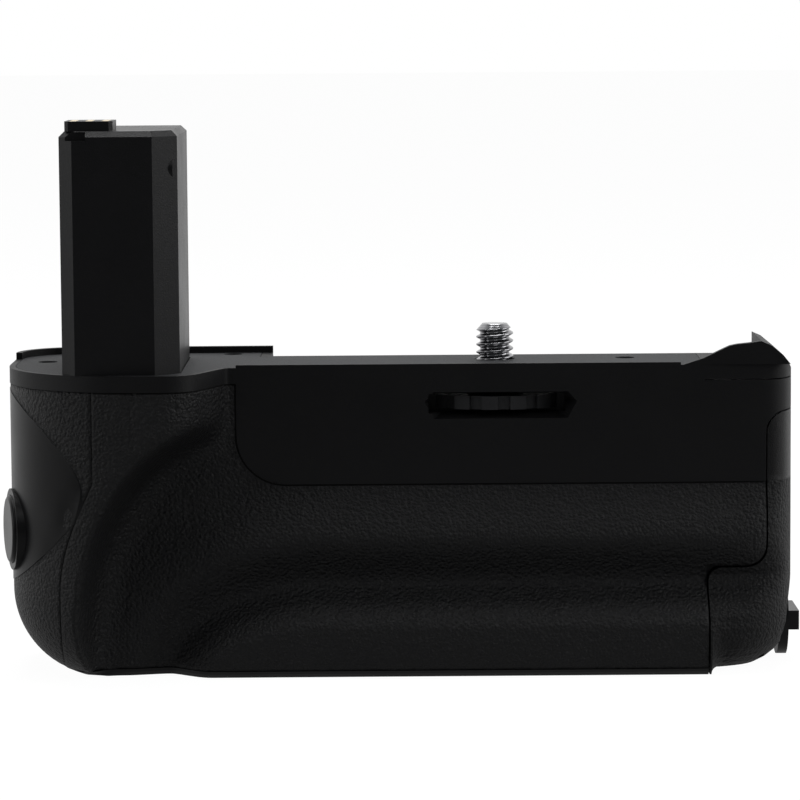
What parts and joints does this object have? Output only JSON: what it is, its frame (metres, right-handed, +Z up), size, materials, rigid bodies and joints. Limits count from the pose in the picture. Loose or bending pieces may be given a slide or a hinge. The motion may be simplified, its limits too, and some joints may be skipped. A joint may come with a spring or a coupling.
{
  "type": "camera battery grip",
  "caption": "Camera battery grip with a dummy battery stalk, thumb wheel screw, shutter button and a sliding tray for flat batteries behind a locking end door.",
  "frame": {"origin": "axis of the camera screw at the level of the top plate", "axes": "+X to the end with the lock knob, +Y to the viewer, +Z up into the camera along the camera screw"},
  "size_m": [0.132, 0.0429, 0.0912],
  "materials": {
    "casing_plastic": "fine matt black moulding",
    "grip_leather": "leather grain, matt black",
    "gloss_black": "smooth black",
    "plate_paint": "fine grained dark grey paint",
    "stalk_plastic": "satin black moulding",
    "steel": "bright turned steel",
    "black_steel": "black oxide",
    "spring_steel": "spring steel",
    "brass_contact": "gold plated",
    "bronze": "turned bronze",
    "inner_plastic": "plain black moulding",
    "board_green": "coated circuit board"
  },
  "bodies": {
    "casing": {"front_case": "casing_plastic", "back_case": "casing_plastic", "top_plate": "plate_paint", "plate_screws": "black_steel", "case_screws": "black_steel", "front_grip_skin": "grip_leather", "left_end_skin": "grip_leather", "rear_grip_skin": "grip_leather", "right_cap": "casing_plastic", "left_end_panel": "gloss_black", "button_bezel": "gloss_black", "shutter_spring": "spring_steel", "shutter_switch": "inner_plastic", "shutter_board": "board_green", "board_screws": "spring_steel", "power_switch_body": "inner_plastic", "remote_jack": "inner_plastic", "screw_bracket": "spring_steel", "screw_bush": "bronze", "bracket_screws": "spring_steel", "stalk_left_shell": "stalk_plastic", "stalk_right_shell": "stalk_plastic", "terminal_block": "stalk_plastic", "stalk_contacts": "brass_contact", "stalk_board": "board_green", "stalk_screws": "spring_steel", "battery_chamber": "inner_plastic", "contact_block": "inner_plastic", "chamber_contacts": "brass_contact", "main_board": "board_green", "tripod_socket": "steel"},
    "screw": {"camera_screw": "steel", "thumb_wheel": "black_steel", "screw_clip": "spring_steel"},
    "button": {"shutter_button": "gloss_black", "button_clip": "spring_steel"},
    "switch": {"power_switch_slider": "gloss_black"},
    "tray": {"battery_tray": "inner_plastic", "tray_contacts": "brass_contact", "battery_contacts": "brass_contact", "battery_springs": "spring_steel", "tray_door": "casing_plastic", "door_screws": "spring_steel"},
    "knob": {"lock_knob": "gloss_black", "lock_finger": "spring_steel"}
  },
  "joints": [
    {"name": "screw_turn", "type": "hinge", "parent": "casing", "child": "screw", "pos_m": [0, 0, 0], "axis": [0, 0, 1], "continuous": true},
    {"name": "button_press", "type": "slide", "parent": "casing", "child": "button", "axis": [0.9703, 0.2419, 0], "range_m": [0, 0.0009], "stiffness_N_per_m": 400, "springref_m": -0.0008},
    {"name": "switch_slide", "type": "slide", "parent": "casing", "child": "switch", "axis": [1, 0, 0], "range_m": [0, 0.003]},
    {"name": "tray_slide", "type": "slide", "parent": "casing", "child": "tray", "axis": [1, 0, 0], "range_m": [0, 0.098]},
    {"name": "lock_turn", "type": "hinge", "parent": "tray", "child": "knob", "pos_m": [0.0413, 0, -0.0436], "axis": [1, 0, 0], "range_deg": [-90, 0]}
  ]
}
